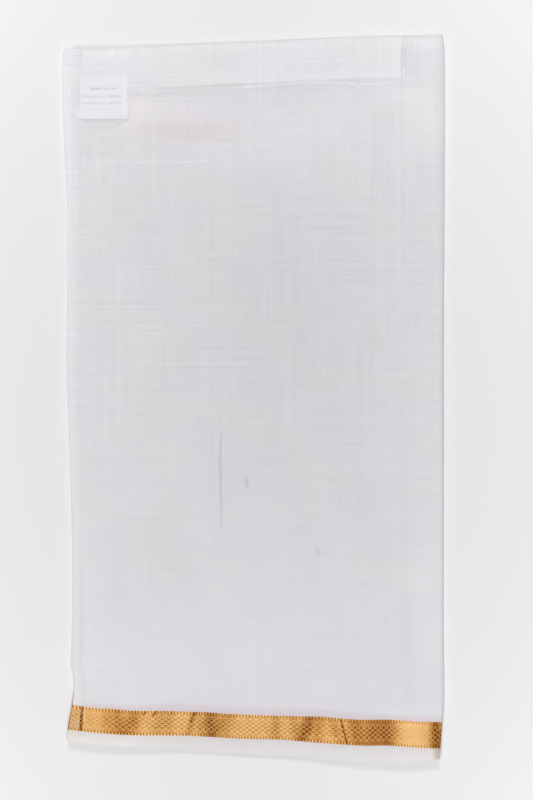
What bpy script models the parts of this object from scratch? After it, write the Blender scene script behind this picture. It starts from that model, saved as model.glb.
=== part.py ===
"""A dhoti cloth of fine white cotton with a gold zari border, folded into a flat pack.

The pack lies on a level surface: +X runs along its width, +Y up its length from the gold
border to the far fold, +Z up. The origin is the centre of the pack's underside.
The cloth is folded in half across its width, so both gold borders come together at the foot,
and then in six along its length. Two plies show and are walls of their own: the top ply, which
turns round the right-hand fold, and the ply under it, which stands out at the left and at the
top. The ten plies below them are one rounded solid with layered edges. Every piece is worked
out in millimetres from the tables below and scaled to metres when its mesh is made.
"""
import math

import bmesh
import bpy
import numpy as np

MM = 0.001                # metres in a millimetre

# ---- Driving sizes, in millimetres --------------------------------------------------------
PLY = 1.0                 # wall of one ply
SEAM = 0.3                # gap between two pieces that meet edge to edge
PLY_GAP = 0.4             # gap between two plies that lie on each other
LAYERS_TOP = 3.4          # upper face of the hidden plies
UNDER_TOP = LAYERS_TOP + PLY_GAP + PLY
TOP = UNDER_TOP + PLY_GAP + PLY
HEM_TOP = TOP + SEAM + PLY

FOLD_RADIUS = (TOP - LAYERS_TOP - PLY_GAP) / 2    # outer radius of the right-hand fold
FOLD_STEPS = 6            # flat facets round the right-hand fold
FOLD_RETURN = 7.0         # length of ply that runs back under the fold
ROUNDING = 0.35           # how far a free edge's corners are taken back

HEM_WIDTH = 9.5           # turned hem along the top ply's left end
UNDER_SHIFT = 9.0         # how far the under ply's border sits above the top ply's
STRIP_DEPTH = 37.5        # depth of the ply turned down inside the far fold
STRIP_RISE = 0.4          # how much it raises the top ply
PANEL_RISE = 0.3          # how much the hidden end raises the top ply left of INNER_END
INNER_END = 135.0         # x of the hidden end of the cloth, under the top ply
STEP_HALF = 2.0           # half the width of each of those steps
DROOP = 0.8               # how far the selvedge droops past the under ply's edge
LIFT_REACH = 80.0         # length of the pack that curls up at the foot
LIFT_POWER = 1.8          # how late the curl sets in

LAYER_GROOVE = 0.06       # height of the groove between two pairs of hidden plies
LAYER_DEPTH = 0.6         # how far each pair's rounded edge runs in to its groove
LAYER_ANGLES = (-90, -40, 0, 40, 90)   # places round that edge, in degrees

LABEL_CLIMB = HEM_TOP - TOP   # the label's left side climbs over the hem by this much
LABEL_CLIMB_FROM = -144.0     # x where the label starts to climb
LABEL_CLIMB_TO = -150.0       # x where it is clear of the hem


def table(columns, rows):
    """A short table with named columns, as one array of numbers for each name."""
    return dict(zip(columns.split(), np.array(rows, float).T))


# The two long sides, from the foot up. The under ply stands out at the left near the far
# fold, and the top ply covers it lower down.
SIDES = table("y under_left top_left right", [
    (-335, -166.0, -166.6, 167.0),
    (-318, -165.9, -166.8, 168.8),
    (-306, -165.6, -166.7, 169.8),
    (-296, -165.0, -166.2, 170.4),
    (-284, -163.7, -164.4, 171.0),
    (-275, -163.4, -162.5, 171.3),
    (-266, -162.0, -161.3, 171.5),
    (-250, -161.9, -161.4, 171.6),
    (-241, -163.0, -163.8, 171.5),
    (-226, -162.4, -163.2, 171.3),
    (-91, -162.4, -163.2, 171.2),
    (-37, -164.2, -165.0, 171.2),
    (0, -165.6, -166.4, 171.2),
    (48, -166.9, -167.5, 171.2),
    (88, -167.3, -166.4, 171.3),
    (130, -167.3, -165.3, 171.6),
    (178, -167.5, -164.6, 171.9),
    (226, -170.2, -164.0, 172.1),
    (268, -171.8, -163.6, 172.1),
    (303, -171.9, -163.4, 172.0),
    (313, -170.9, -163.3, 171.8),
    (322, -167.0, -163.2, 171.0),
    (335, -160.0, -163.2, 168.0),
])

# The far fold: the y of each ply's edge along the width.
CROWN = table("x top under", [
    (-175, 314.4, 318.5),
    (-163, 314.5, 320.2),
    (-118, 315.1, 319.0),
    (-57, 318.0, 320.0),
    (-8, 320.3, 321.8),
    (40, 322.6, 324.0),
    (89, 324.8, 326.0),
    (130, 325.8, 326.9),
    (160, 326.2, 327.2),
    (175, 325.2, 326.4),
])

# The foot: the y of the gold band's two edges and of the white selvedge's edge along the
# width, and how high the edge is lifted off the surface.
BORDER = table("x band_top band_foot edge lift", [
    (-175, -275.0, -296.8, -308.2, 5.5),
    (-165, -275.9, -297.6, -309.0, 6.5),
    (-145, -278.3, -299.5, -311.2, 8.0),
    (-125, -279.9, -301.6, -313.0, 8.0),
    (-105, -281.9, -302.8, -313.7, 6.5),
    (-85, -281.4, -302.8, -314.8, 3.5),
    (-57, -282.2, -303.4, -316.2, 0.8),
    (-40, -282.4, -304.5, -317.3, 0.2),
    (-20, -284.0, -305.7, -318.8, 0.0),
    (0, -284.9, -306.5, -320.1, 0.3),
    (25, -285.5, -307.0, -321.0, 1.0),
    (45, -285.9, -308.5, -321.9, 2.2),
    (62, -286.8, -309.9, -323.1, 3.8),
    (81, -289.0, -310.9, -324.4, 5.6),
    (100, -289.3, -311.8, -325.4, 7.2),
    (120, -289.0, -311.9, -325.8, 8.6),
    (148, -291.1, -313.7, -325.9, 9.5),
    (165, -291.3, -314.1, -324.6, 9.2),
    (175, -291.3, -314.1, -323.0, 8.8),
])

# The layered edge of the hidden plies: a row for each folded pair, from the surface up. It
# says how far the pair's edge is set in from the under ply's two sides, from the far fold
# and from the selvedge's edge.
LAYERS = table("left right crown foot", [
    (2.2, 1.6, 2.4, 4.4),
    (0.9, 2.3, 1.2, 3.0),
    (1.8, 1.0, 2.0, 5.6),
    (1.2, 1.9, 0.9, 6.8),
    (2.0, 1.4, 1.6, 12.0),
])

# The label's two sides, from its foot up.
LABEL = table("y left right", [
    (251.3, -159.4, -113.3),
    (256.0, -158.6, -113.4),
    (264.0, -156.6, -113.5),
    (277.5, -156.2, -113.6),
    (290.8, -156.0, -113.7),
])

# Where the cloth is divided: shares of the width, and rows down the length.
WIDTH_SHARES = (0.06, 0.10, 0.15, 0.20, 0.25, 0.30, 0.36, 0.42, 0.48, 0.54, 0.60,
                0.65, 0.70, 0.75, 0.80, 0.85, 0.885, 0.90, 0.94, 0.97)
ROWS_BELOW_CROWN = (0, 14, STRIP_DEPTH - STEP_HALF, STRIP_DEPTH + STEP_HALF, 80, 140, 205, 270)
ROWS_ABOVE_BAND = (270, 200, 140, 100, 75, 58, 44, 32, 21, 10, 0)
BAND_SHARES = (0, 0.5, 1)
SELVEDGE_SHARES = (0, 0.35, 0.7, 1)
STACK_SHARES = (0, 0.06, 0.15, 0.27, 0.4, 0.53, 0.65, 0.76, 0.84, 0.88, 0.91, 0.94, 0.97, 1)
LABEL_SHARES = (0, 0.08, 0.17, 0.3, 0.55, 0.78, 1)


# ---- Reading the tables -------------------------------------------------------------------
def read(tab, column, along, at):
    """One column of a table at any place along another, on a smooth curve through its rows."""
    places, values = tab[along], tab[column]
    slopes = np.gradient(values, places)
    at = np.clip(at, places[0], places[-1])
    i = np.clip(np.searchsorted(places, at) - 1, 0, len(places) - 2)
    width = places[i + 1] - places[i]
    t = (at - places[i]) / width
    back = 1 - t
    return (values[i] * (1 + 2 * t) * back ** 2 + values[i + 1] * (3 - 2 * t) * t ** 2
            + width * t * back * (slopes[i] * back - slopes[i + 1] * t))


def ramp(value, start, end):
    """A soft step from 0 at start to 1 at end."""
    t = np.clip((value - start) / (end - start), 0, 1)
    return t * t * (3 - 2 * t)


def lift(x, y):
    """How far the whole pack is curled up off the surface at its foot."""
    height = np.maximum(read(BORDER, "lift", "x", x), 0)
    from_edge = y - read(BORDER, "edge", "x", x)
    return height * np.clip(1 - from_edge / LIFT_REACH, 0, 1) ** LIFT_POWER


def top_rise(x, y):
    """The top ply's height over its flat level: the curl, and what lies hidden under it."""
    left_of_end = ramp(x, INNER_END + STEP_HALF, INNER_END - STEP_HALF)
    below_crown = read(CROWN, "top", "x", x) - y
    on_strip = ramp(below_crown, STRIP_DEPTH + STEP_HALF, STRIP_DEPTH - STEP_HALF)
    above_edge = y - read(BORDER, "edge", "x", x)
    drooping = ramp(above_edge, UNDER_SHIFT - SEAM, 0)
    return (lift(x, y) + left_of_end * (PANEL_RISE + STRIP_RISE * on_strip)
            - DROOP * drooping)


def label_rise(x, y):
    """The label follows the top ply and climbs over the hem at its left side."""
    return top_rise(x, y) + LABEL_CLIMB * ramp(x, LABEL_CLIMB_FROM, LABEL_CLIMB_TO)


# ---- Rows down the length -----------------------------------------------------------------
def crown_line(ply, x):
    return read(CROWN, ply, "x", x)


def border_line(column, x, ply):
    """A line of the border. The under ply's border sits a little higher than the top one's."""
    return read(BORDER, column, "x", x) + (UNDER_SHIFT if ply == "under" else 0)


def body_rows(ply):
    """The plain cloth, from the far fold down to the gold band."""
    foot = lambda x: border_line("band_top", x, ply) + SEAM / 2
    rows = [lambda x, d=d: crown_line(ply, x) - d for d in ROWS_BELOW_CROWN]
    return rows + [lambda x, d=d: foot(x) + d for d in ROWS_ABOVE_BAND]


def shared_rows(upper, lower, shares):
    """Rows at shares of the way from one line to another."""
    return [lambda x, s=s: (1 - s) * upper(x) + s * lower(x) for s in shares]


def band_rows(ply):
    """The gold band."""
    return shared_rows(lambda x: border_line("band_top", x, ply) - SEAM / 2,
                       lambda x: border_line("band_foot", x, ply) + SEAM / 2, BAND_SHARES)


def selvedge_rows(ply):
    """The white margin below the gold band."""
    return shared_rows(lambda x: border_line("band_foot", x, ply) - SEAM / 2,
                       lambda x: border_line("edge", x, ply), SELVEDGE_SHARES)


# ---- Sections across the width ------------------------------------------------------------
# A section is a list of columns. Each column is a share of the flat width, then how far its
# outer point and its inner point stand off that place, and their heights.
def edge_columns(share, inward, top):
    """A free edge with its two corners rounded off: inward is +1 at a left edge, -1 at a right."""
    tip = (share, 0, top - ROUNDING, 0, top - PLY + ROUNDING)
    full = (share, inward * ROUNDING, top, inward * ROUNDING, top - PLY)
    return [tip, full] if inward > 0 else [full, tip]


def flat_columns(shares, top):
    return [(share, 0, top, 0, top - PLY) for share in shares]


def fold_columns():
    """The right-hand fold of the top ply: half a turn, then a length that runs back under."""
    middle = TOP - FOLD_RADIUS
    inner = FOLD_RADIUS - PLY
    columns = []
    for step in range(FOLD_STEPS + 1):
        angle = math.pi * step / FOLD_STEPS
        out, up = math.sin(angle), math.cos(angle)
        columns.append((1, FOLD_RADIUS * out, middle + FOLD_RADIUS * up,
                        inner * out, middle + inner * up))
    bottom = TOP - 2 * FOLD_RADIUS
    return columns + [(1, -FOLD_RETURN, bottom, -FOLD_RETURN, bottom + PLY)]


def top_section():
    return edge_columns(0, 1, TOP) + flat_columns(WIDTH_SHARES, TOP) + fold_columns()


def under_section():
    return (edge_columns(0, 1, UNDER_TOP) + flat_columns(WIDTH_SHARES, UNDER_TOP)
            + edge_columns(1, -1, UNDER_TOP))


def hem_section():
    return edge_columns(0, 1, HEM_TOP) + flat_columns((0.5,), HEM_TOP) + edge_columns(1, -1, HEM_TOP)


def top_span(y):
    """Where the flat part of the top ply starts and ends."""
    return read(SIDES, "top_left", "y", y), read(SIDES, "right", "y", y) - FOLD_RADIUS


def under_span(y):
    left, right = read(SIDES, "under_left", "y", y), read(SIDES, "right", "y", y)
    return left, right - FOLD_RADIUS - FOLD_RETURN - SEAM


def hem_span(y):
    left = read(SIDES, "top_left", "y", y)
    return left, left + HEM_WIDTH


def label_span(y):
    return read(LABEL, "left", "y", y), read(LABEL, "right", "y", y)


def settle(shares, offsets, span, row):
    """The x and y of each column on a row. Both depend on each other, so a few turns."""
    y = np.zeros(len(shares))
    for _ in range(4):
        left, right = span(y)
        x = left + shares * (right - left) + offsets
        y = row(x)
    return x, y


def wall_grids(section, span, rows, rise):
    """The outer and inner points of a wall: a row of columns for each row down the length."""
    share, out_x, out_z, in_x, in_z = np.array(section, float).T
    outer, inner = [], []
    for row in rows:
        x, y = settle(share, out_x, span, row)
        outer.append(np.stack([x, y, out_z + rise(x, y)], axis=1))
        x = x - out_x + in_x
        inner.append(np.stack([x, y, in_z + rise(x, y)], axis=1))
    return np.array(outer), np.array(inner)


# ---- Meshes -------------------------------------------------------------------------------
def border_of(count_rows, count_columns):
    """The (row, column) places round a grid, in order."""
    last_row, last_column = count_rows - 1, count_columns - 1
    return ([(0, c) for c in range(last_column)] + [(r, last_column) for r in range(last_row)]
            + [(last_row, c) for c in range(last_column, 0, -1)]
            + [(r, 0) for r in range(last_row, 0, -1)])


def grid_faces(index):
    """The four-sided faces of a grid of vertex numbers."""
    rows, columns = index.shape
    return [(index[r, c], index[r + 1, c], index[r + 1, c + 1], index[r, c + 1])
            for r in range(rows - 1) for c in range(columns - 1)]


def closed_solid(name, levels, material):
    """A closed body from grids of points laid over each other, from the upper to the lower.

    The first and last grids are its two faces, and only the rims of those between are used.
    """
    rows, columns = levels[0].shape[:2]
    rim = border_of(rows, columns)
    points = list(levels[0].reshape(-1, 3))
    upper = np.arange(rows * columns).reshape(rows, columns)
    rings = [[upper[place] for place in rim]]
    for level in levels[1:-1]:
        rings.append(list(range(len(points), len(points) + len(rim))))
        points += [level[place] for place in rim]
    lower = len(points) + upper
    points += list(levels[-1].reshape(-1, 3))
    rings.append([lower[place] for place in rim])

    faces = grid_faces(upper) + [face[::-1] for face in grid_faces(lower)]
    for above, below in zip(rings, rings[1:]):
        for i in range(len(rim)):
            j = (i + 1) % len(rim)
            faces.append((above[i], above[j], below[j], below[i]))

    mesh = bpy.data.meshes.new(name)
    mesh.from_pydata([tuple(float(v) * MM for v in point) for point in points], [],
                     [tuple(int(v) for v in face) for face in faces])
    body = bmesh.new()
    body.from_mesh(mesh)
    bmesh.ops.recalc_face_normals(body, faces=body.faces)
    bmesh.ops.triangulate(body, faces=body.faces, quad_method="FIXED")
    body.to_mesh(mesh)
    body.free()
    mesh.materials.append(material)
    mesh.shade_smooth()
    mesh.set_sharp_from_angle(angle=math.radians(40))
    piece = bpy.data.objects.new(name, mesh)
    bpy.context.scene.collection.objects.link(piece)
    return piece


def make_material(name, color, roughness, metallic=0.0):
    material = bpy.data.materials.new(name)
    material.use_nodes = True
    shader = material.node_tree.nodes["Principled BSDF"]
    shader.inputs["Base Color"].default_value = (*color, 1)
    shader.inputs["Roughness"].default_value = roughness
    shader.inputs["Metallic"].default_value = metallic
    return material


# ---- Pieces -------------------------------------------------------------------------------
def make_wall(name, section, span, rows, rise, material):
    outer, inner = wall_grids(section, span, rows, rise)
    closed_solid(name, [outer, inner], material)


def make_top_ply(cotton, zari):
    """The uppermost ply: plain cloth, gold band and white selvedge, round the right-hand fold."""
    section = top_section()
    make_wall("top_ply", section, top_span, body_rows("top"), top_rise, cotton)
    make_wall("zari_border", section, top_span, band_rows("top"), top_rise, zari)
    make_wall("border_selvedge", section, top_span, selvedge_rows("top"), top_rise, cotton)


def make_end_hem(cotton, zari):
    """The narrow hem turned onto the top ply's left end, which the border runs through."""
    section = hem_section()
    make_wall("end_hem", section, hem_span, body_rows("top"), top_rise, cotton)
    make_wall("hem_zari", section, hem_span, band_rows("top"), top_rise, zari)
    make_wall("hem_selvedge", section, hem_span, selvedge_rows("top"), top_rise, cotton)


def make_under_ply(cotton, zari):
    """The second ply, which shows at the left, past the far fold and at the lifted foot."""
    section = under_section()
    make_wall("under_ply", section, under_span, body_rows("under"), lift, cotton)
    make_wall("under_zari", section, under_span, band_rows("under"), lift, zari)
    make_wall("under_selvedge", section, under_span, selvedge_rows("under"), lift, cotton)


def make_label(paper):
    """The plain label that lies on the top ply, near the far fold, over the hem's edge."""
    top = TOP + SEAM + PLY
    section = flat_columns(LABEL_SHARES, top)
    foot, head = LABEL["y"][0], LABEL["y"][-1]
    rows = shared_rows(lambda x: head + 0 * x, lambda x: foot + 0 * x, LABEL_SHARES)
    make_wall("label", section, label_span, rows, label_rise, paper)


def layer_rims():
    """Each rim of the layered edge, from the surface up: its height and how far it is set in."""
    count = len(LAYERS["left"])
    pitch = (LAYERS_TOP + LAYER_GROOVE) / count
    for pair in range(count):
        for angle in LAYER_ANGLES:
            turn = math.radians(angle)
            z = pair * pitch + (pitch - LAYER_GROOVE) * (1 + math.sin(turn)) / 2
            back = LAYER_DEPTH * (1 - math.cos(turn))
            yield z, {side: insets[pair] + back for side, insets in LAYERS.items()}


def layer_grid(z, inset):
    """The points of one level of the hidden plies, set in from the outline on each side."""
    def span(y):
        left, right = read(SIDES, "under_left", "y", y), read(SIDES, "right", "y", y)
        return left + inset["left"], right - inset["right"]
    rows = shared_rows(lambda x: crown_line("under", x) - inset["crown"],
                       lambda x: border_line("edge", x, "top") + inset["foot"], STACK_SHARES)
    shares = np.array((0, 0.03) + WIDTH_SHARES + (1,))
    settled = [settle(shares, 0, span, row) for row in rows]
    return np.array([np.stack([x, y, z + lift(x, y)], axis=1) for x, y in settled])


def make_inner_layers(cotton):
    """The ten hidden plies as one rounded solid: flat below, layered all round its edge."""
    levels = [layer_grid(z, inset) for z, inset in layer_rims()]
    closed_solid("inner_layers", levels[::-1], cotton)


def main():
    for thing in list(bpy.data.objects):
        bpy.data.objects.remove(thing)
    cotton = make_material("cotton", (0.80, 0.79, 0.83), 0.85)
    zari = make_material("zari", (0.62, 0.33, 0.09), 0.42, 0.6)
    paper = make_material("label_card", (0.84, 0.84, 0.88), 0.6)
    make_inner_layers(cotton)
    make_under_ply(cotton, zari)
    make_top_ply(cotton, zari)
    make_end_hem(cotton, zari)
    make_label(paper)


main()
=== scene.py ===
"""The looks of the folded dhoti cloth: fine cotton plies, gold zari border, hem and label.

Every ply is a thin closed shell on the form of its solid, worked out in millimetres and scaled
to metres when its mesh is made. The tables of its outline start from the solids' own, and are
up to 1.5 mm truer at the foot and low on the right. +X runs across the pack towards the closed
fold, +Y up its length from the gold border to the far fold, +Z up.
"""
import math

import bpy
import numpy as np
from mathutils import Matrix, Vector


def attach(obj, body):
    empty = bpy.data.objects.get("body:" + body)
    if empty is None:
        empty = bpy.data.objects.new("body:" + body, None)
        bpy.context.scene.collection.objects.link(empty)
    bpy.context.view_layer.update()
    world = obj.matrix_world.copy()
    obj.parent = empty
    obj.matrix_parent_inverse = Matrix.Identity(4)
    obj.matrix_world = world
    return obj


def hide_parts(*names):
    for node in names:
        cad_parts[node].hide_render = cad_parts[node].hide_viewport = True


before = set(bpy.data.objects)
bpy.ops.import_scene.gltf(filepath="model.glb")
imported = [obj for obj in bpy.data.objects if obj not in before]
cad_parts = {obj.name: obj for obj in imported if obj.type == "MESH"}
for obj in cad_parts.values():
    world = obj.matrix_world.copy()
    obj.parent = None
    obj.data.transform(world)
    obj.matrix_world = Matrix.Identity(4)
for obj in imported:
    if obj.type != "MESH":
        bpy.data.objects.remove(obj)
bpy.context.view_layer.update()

MM = 0.001  # metres in a millimetre

# ---- Sizes shared with the solids, in millimetres ----
PLY = 1  # the solids' wall
PLY_GAP = 0.4
SEAM = 0.3
LAYERS_TOP = 3.4
UNDER_TOP = LAYERS_TOP + PLY_GAP + PLY
TOP = UNDER_TOP + PLY_GAP + PLY
FOLD_RADIUS = (TOP - LAYERS_TOP - PLY_GAP) / 2
FOLD_RETURN = 7  # length of ply that runs back under the right-hand fold
UNDER_SHIFT = 9  # how far the under ply's border sits above the top ply's
PANEL_RISE = 0.3  # how much the hidden end raises the top ply left of INNER_END
DROOP = 0.8  # how far the selvedge droops past the under ply's edge
LIFT_REACH = 80  # length of the pack that curls up at the foot
LIFT_POWER = 1.8  # how late the curl sets in

# ---- Sizes of the shells' own, in millimetres ----
CLOTH = 0.5  # wall of a shell
HEM_CLOTH = 0.2  # wall of the turned hem
HEM_CLEAR = 0.03  # room between the hem and the edge that it wraps
HEM_WIDTH = 10  # half a millimetre wider than its solid
STRIP_DEPTH = 37.3  # depth of the ply turned down inside the far fold
STRIP_RISE = 0.35  # how much that ply shows
INNER_END = 134  # x of the hidden end of the cloth, under the top ply
EDGE_REACH = 8  # how far in from a free edge the ply sinks onto the one below
TOP_SINK = 0.4
UNDER_SINK = 0.65
BAND_WIDTH = 22.4  # the gold band, from edge to edge
BUCKLE_REACH = 12  # how far the band's buckles run on into the plain cloth
LATTICE_HEIGHT = 0.07  # how far the zari's floats stand out
TOP_LENGTH = 605  # the top ply's plain cloth, for the spacing of its rows
TOP_REACH = (-165, 170)  # where the top ply's columns start and end, for their spacing
# Its columns, then its rows from the far fold, are closer here: middle, half width and step.
TOP_FINE_X = [(-154, 4, 0.9), (-30, 3, 0.6), (137, 6.5, 0.7), (168, 3, 0.8)]
TOP_FINE_Y = [(14, 16, 1.3), (STRIP_DEPTH + 1.5, 5, 0.6)]
UNDER_WIDTH = 325  # the under ply's width, for the spacing of its columns
ZONES = [330, 225, -55, -320]  # the y where one stretch of marks meets the next
ZONE_LAP = 16  # how far a mark may reach past its stretch


def table(columns, rows):
    """A short table with named columns, as one array of numbers for each name."""
    return dict(zip(columns.split(), np.array(rows, float).T))


def rows_of(tab):
    """The rows of a table, one after another, each as plain numbers in column order."""
    return np.array(list(tab.values())).T.tolist()


# The two long sides, from the foot up.
SIDES = table("y under_left top_left right", [
    (-335, -166, -166.6, 166),
    (-318, -165.9, -166.8, 167.6),
    (-306, -165.6, -166.7, 168.4),
    (-296, -165, -166.2, 169.3),
    (-284, -163.7, -164.4, 170.5),
    (-275, -163.4, -162.5, 171.3),
    (-266, -162, -161.3, 171.5),
    (-250, -161.9, -161.4, 171.6),
    (-241, -163, -163.8, 171.5),
    (-226, -162.4, -163.2, 171.3),
    (-91, -162.4, -163.2, 171.2),
    (-37, -164.2, -165, 171.2),
    (0, -165.6, -166.4, 171.2),
    (48, -166.9, -167.5, 171.2),
    (88, -167.3, -166.4, 171.3),
    (130, -167.3, -165.3, 171.6),
    (178, -167.5, -164.6, 171.9),
    (226, -170.2, -164, 172.1),
    (268, -171.8, -163.6, 172.1),
    (303, -171.9, -163.4, 172),
    (313, -170.9, -163.3, 171.8),
    (322, -167, -163.2, 171),
    (335, -160, -163.2, 168),
])

# The far fold: the y of each ply's edge along the width.
CROWN = table("x top under", [
    (-175, 314.4, 318.5),
    (-163, 314.5, 318.4),
    (-118, 315.1, 318.6),
    (-57, 318, 320),
    (-8, 320.3, 321.8),
    (40, 322.6, 324),
    (89, 324.8, 326),
    (130, 325.8, 326.9),
    (158, 326.6, 327.4),
    (167, 327.4, 327.8),
    (175, 327, 327.2),
])

# The foot: the gold band's two edges, the selvedge's edge and how high that is lifted.
BORDER = table("x band_top band_foot edge lift", [
    (-175, -274.2, -296.4, -307.6, 5.5),
    (-165, -275, -297.2, -308, 6.5),
    (-145, -277.7, -299.2, -309.2, 8),
    (-125, -279, -301, -310.8, 8),
    (-105, -280.7, -302.2, -312.2, 6.5),
    (-85, -280.8, -302.7, -313.8, 3.5),
    (-57, -281.8, -303.4, -315.4, 0.8),
    (-40, -282.4, -304.5, -317.3, 0.2),
    (-20, -284, -305.7, -318.8, 0),
    (0, -284.9, -306.5, -320.1, 0.3),
    (25, -285.5, -307, -321, 1),
    (45, -285.9, -308.5, -321.9, 2.2),
    (62, -286.2, -309.7, -323.1, 3.8),
    (81, -287.9, -310.7, -323.8, 5.6),
    (100, -288.8, -311.5, -324.4, 7.2),
    (120, -288.5, -311.2, -324.6, 8.6),
    (148, -290.2, -312.9, -324.4, 9.5),
    (165, -290.6, -313.6, -323.2, 9.2),
    (175, -290.5, -313.2, -321.8, 8.8),
])

# The folded pairs of hidden plies, from the surface up: how far each is set in from the
# outline, how far its border sits above the top ply's, and how its edges waver.
LAYERS = table("left right crown foot waver", [
    (2.2, 1.6, 2.4, 4.4, 0.5),
    (0.9, 2.3, 1.2, 3, 1.7),
    (1.8, 1, 2, 5.6, 2.9),
    (1.2, 1.9, 0.9, 6.8, 4.1),
    (2, 1.4, 1.6, 12, 5.3),
])

# The label's two sides, from its foot up.
LABEL = table("y left right", [
    (251.3, -159.4, -113.3),
    (256, -158.6, -113.4),
    (264, -156.6, -113.5),
    (277.5, -156.2, -113.6),
    (290.8, -156, -113.7),
])

# Creases in the top ply, from the far fold down: the places along each, its half width and
# how deep it is. A ridge has a negative depth.
CREASES = [
    # the faint line under the far fold
    ([(51, 311.8), (90, 313.6), (128, 315)], 0.9, 0.1),
    # the second line below the left half of the turned strip
    ([(-113, 274), (-76, 275.4), (-58, 275.6)], 1, 0.16),
    # the pressed ridge below the strip's right half, and where it forks
    ([(10, 282), (45, 283.4), (70, 284.2), (97, 282.2), (126, 282.6)], 1, -0.2),
    ([(66, 285.6), (80, 284.9), (92, 283), (101, 280)], 1, 0.16),
    ([(72, 290), (88, 290.8), (106, 291.8)], 1, -0.14),
    # the pinch at the top of the hidden end
    ([(133.8, 317), (133.5, 300), (133.9, 284)], 1, 0.26),
    ([(137, 315), (136.6, 306), (136, 299)], 0.8, 0.18),
    ([(141.5, 309), (138.2, 303.5), (136.4, 296), (135.6, 289)], 0.9, -0.24),
    ([(143.5, 305), (140.2, 299), (138.6, 292)], 0.9, 0.14),
    # beside the label and below it
    ([(-114, 250), (-132, 243), (-152, 237)], 2, 0.18),
    ([(-146, 222), (-130, 214), (-118, 209)], 2.2, 0.1),
    # the pressed line in the middle
    ([(-29.2, -30), (-29.9, -56), (-28.9, -98), (-29.2, -117)], 0.9, 0.26),
    # slack folds low on the right
    ([(58, -64), (82, -82), (107, -94)], 2.2, 0.14),
    ([(83, -256), (100, -264), (113, -274), (127, -280)], 2.2, 0.18),
    ([(150, -262), (160, -270), (168, -282)], 2.4, 0.14),
]
CREASE_TAPER = 7  # how far from its ends a crease fades out

# Fine lines in the top ply, too thin for its mesh: the places along each, its half width and
# its change of tone. Slubs are light and smudges dark. Along the creases, folds and steps, and
# the hidden end under the ply, a dark line is painted shade and a light one a painted highlight.
MARKS_AND_SHADE = [
    # painted shade along the edge of the turned strip, and along the line below its left half
    ([(-113, 278.6), (-100, 279.8), (-84, 279.6)], 1.7, -0.09),
    ([(-84, 279.6), (-57, 281), (-21, 282), (15, 284), (42, 285.8)], 1.7, -0.068),
    ([(42, 285.8), (70, 286.6), (83, 286.4), (96, 284.6)], 1.6, -0.085),
    ([(88, 288.6), (114, 288), (128, 288.6)], 1.6, -0.045),
    ([(-113, 271.6), (-104, 273.2), (-84, 273.6), (-52, 275.2)], 2, -0.024),
    # a painted highlight on the pressed ridge below its right half, and painted shade beside it
    ([(-8, 280.6), (19, 282.3), (42, 283.8), (64, 284.5), (86, 284)], 1.6, 0.095),
    ([(86, 284), (93, 281), (97, 279.6)], 1.5, 0.07),
    ([(88, 283.8), (104, 282.8), (126, 284.2)], 1.5, 0.08),
    ([(-6, 277.8), (19, 280), (42, 281.4)], 1.6, -0.045),
    ([(78, 281.4), (90, 279.8)], 1.5, -0.05),
    # painted shade along the step over the hidden end of the cloth, under the right of the top
    # ply, and painted highlights on its pinch
    ([(133.4, 316), (133, 299), (133.6, 284)], 1.7, -0.085),
    ([(137, 315), (136.6, 308), (137, 291)], 1.4, -0.065),
    ([(141, 303), (136.4, 297.4), (134.2, 289.4)], 1.3, 0.07),
    ([(143.4, 308), (141.8, 303)], 1.3, 0.045),
    ([(132.6, 284), (133.4, 250), (134.6, 225), (134.4, 160)], 2.4, -0.04),
    ([(137, -60), (136.4, -190), (138.4, -268)], 3, -0.024),
    ([(162.4, 264.6), (165.4, 261)], 1.2, -0.06),
    # painted shade in the pressed line in the middle; smudges near it, and painted shade along a
    # slack fold low on the right
    ([(-29.2, -31.6), (-29.9, -56), (-28.9, -98), (-29.2, -115.6)], 2.2, -0.095),
    ([(-29.6, -40), (-29.9, -56), (-29.1, -95)], 2.2, -0.06),
    ([(-30.2, -33), (-22, -32.4)], 1.2, -0.02),
    ([(-6.5, -71.8), (-5.7, -78.4)], 3.8, -0.12),
    ([(57.4, -137.2), (58.6, -139)], 4.1, -0.13),
    ([(97, -166.4), (100, -167.6)], 2.4, -0.055),
    ([(58, -64), (82, -82), (107, -94)], 2.6, -0.026),
    # round the label: its painted shadow, and painted shade and a painted highlight on the fold
    # that runs down from its corner
    ([(-159.5, 250.2), (-140, 250), (-114, 250.8)], 2.9, -0.055),
    ([(-112.6, 288), (-112.4, 252)], 2, -0.045),
    ([(-161, 262), (-161.5, 251)], 2.4, -0.04),
    ([(-113.5, 251), (-120, 247), (-127, 243.6)], 2.4, -0.045),
    ([(-117, 244.6), (-132, 238.4), (-149, 232.6)], 3.4, 0.03),
    # painted shade along the long low fold near the foot
    ([(80, -252), (95, -264), (116, -272.4), (131, -276)], 2.6, -0.026),
    # slubs that stand out among the threads
    ([(-156, 213.2), (-86, 212.4), (-40, 213.6)], 0.9, 0.06),
    ([(-40, 214.8), (30, 216.6), (120, 214)], 0.9, 0.032),
    ([(44, 193.4), (110, 193), (168, 191.6)], 0.9, 0.038),
    ([(20, 120), (168, 119)], 0.9, 0.028),
    ([(-130, -12), (-20, -12.6)], 1, -0.024),
    ([(60, -139.8), (136, -140.4)], 1, -0.022),
    ([(-41.6, 190), (-41.8, -20)], 1, 0.024),
    ([(-44.6, 246), (-48.2, 160)], 1, 0.024),
    ([(90, 205), (90.8, 20)], 1, 0.022),
    # a loose end of thread that shows through
    ([(-53, 272), (-49.4, 266), (-54.5, 258.5), (-61.5, 250)], 0.9, 0.045),
    ([(-61.5, 264), (-62.8, 257), (-57, 262.4), (-53.8, 256.5), (-59.5, 248.5)], 0.9, 0.04),
]
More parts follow.
